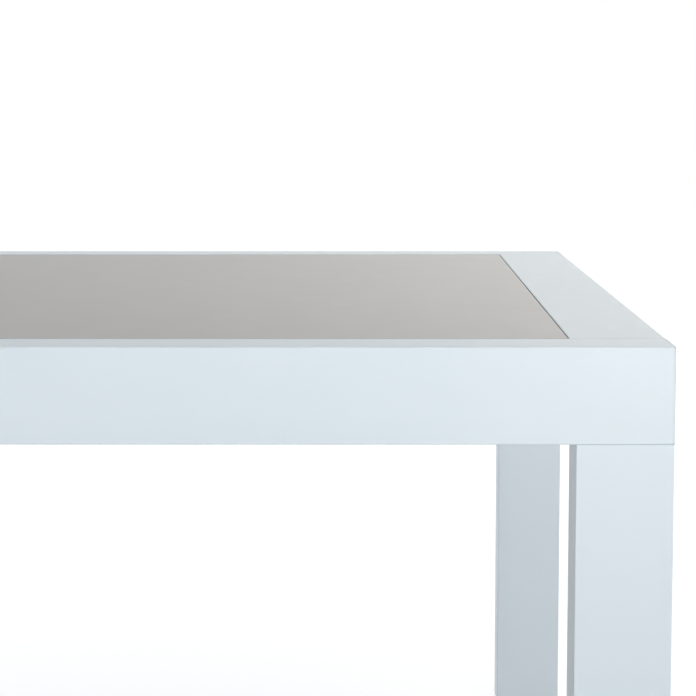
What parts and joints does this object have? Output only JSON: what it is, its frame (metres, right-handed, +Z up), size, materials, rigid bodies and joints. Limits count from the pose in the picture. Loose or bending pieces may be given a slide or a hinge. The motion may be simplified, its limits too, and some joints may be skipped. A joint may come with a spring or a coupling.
{
  "type": "garden table",
  "caption": "Rectangular white aluminium garden table with an inset satin greige top, deep apron, flat broad legs and levelling feet.",
  "frame": {"origin": "on the ground under the middle of the table, with the feet screwed fully in", "axes": "+X along the table's length to the right as seen from the front, +Y to the rear long side, +Z up"},
  "size_m": [1.8, 0.9, 0.75],
  "materials": {
    "powder_coat": "satin white powder coat",
    "panel_glass": "satin, lacquered greige on the back",
    "cap_plastic": "satin, matched to the coat",
    "rubber": "matte",
    "bare_aluminium": "mill",
    "stainless": "plain stainless",
    "grey_plastic": "matte moulded"
  },
  "bodies": {
    "frame": {"front_rail": "powder_coat", "rear_rail": "powder_coat", "rail_cap_front_left": "cap_plastic", "rail_cap_front_right": "cap_plastic", "rail_cap_rear_left": "cap_plastic", "rail_cap_rear_right": "cap_plastic", "left_end_band": "powder_coat", "right_end_band": "powder_coat", "band_plate_front_left": "bare_aluminium", "band_plate_front_right": "bare_aluminium", "band_plate_rear_left": "bare_aluminium", "band_plate_rear_right": "bare_aluminium", "band_bolt_front_left": "stainless", "band_bolt_front_right": "stainless", "band_bolt_rear_left": "stainless", "band_bolt_rear_right": "stainless", "panel_ledge_front": "powder_coat", "panel_ledge_right": "powder_coat", "panel_ledge_rear": "powder_coat", "panel_ledge_left": "powder_coat", "panel_seal_front": "rubber", "panel_seal_right": "rubber", "panel_seal_rear": "rubber", "panel_seal_left": "rubber", "top_panel": "panel_glass", "crossbar_1": "powder_coat", "crossbar_strip_1": "rubber", "crossbar_2": "powder_coat", "crossbar_strip_2": "rubber", "leg_front_left": "powder_coat", "leg_plate_front_left": "bare_aluminium", "leg_bolt_front_left_1": "stainless", "leg_bolt_front_left_2": "stainless", "foot_plug_front_left": "grey_plastic", "leg_front_right": "powder_coat", "leg_plate_front_right": "bare_aluminium", "leg_bolt_front_right_1": "stainless", "leg_bolt_front_right_2": "stainless", "foot_plug_front_right": "grey_plastic", "leg_rear_left": "powder_coat", "leg_plate_rear_left": "bare_aluminium", "leg_bolt_rear_left_1": "stainless", "leg_bolt_rear_left_2": "stainless", "foot_plug_rear_left": "grey_plastic", "leg_rear_right": "powder_coat", "leg_plate_rear_right": "bare_aluminium", "leg_bolt_rear_right_1": "stainless", "leg_bolt_rear_right_2": "stainless", "foot_plug_rear_right": "grey_plastic"},
    "foot_front_left": {"foot_pad_front_left": "grey_plastic", "foot_stud_front_left": "stainless"},
    "foot_front_right": {"foot_pad_front_right": "grey_plastic", "foot_stud_front_right": "stainless"},
    "foot_rear_left": {"foot_pad_rear_left": "grey_plastic", "foot_stud_rear_left": "stainless"},
    "foot_rear_right": {"foot_pad_rear_right": "grey_plastic", "foot_stud_rear_right": "stainless"}
  },
  "joints": [
    {"name": "foot_travel_front_left", "type": "slide", "parent": "frame", "child": "foot_front_left", "axis": [0, 0, -1], "range_m": [0, 0.012]},
    {"name": "foot_travel_front_right", "type": "slide", "parent": "frame", "child": "foot_front_right", "axis": [0, 0, -1], "range_m": [0, 0.012]},
    {"name": "foot_travel_rear_left", "type": "slide", "parent": "frame", "child": "foot_rear_left", "axis": [0, 0, -1], "range_m": [0, 0.012]},
    {"name": "foot_travel_rear_right", "type": "slide", "parent": "frame", "child": "foot_rear_right", "axis": [0, 0, -1], "range_m": [0, 0.012]}
  ]
}
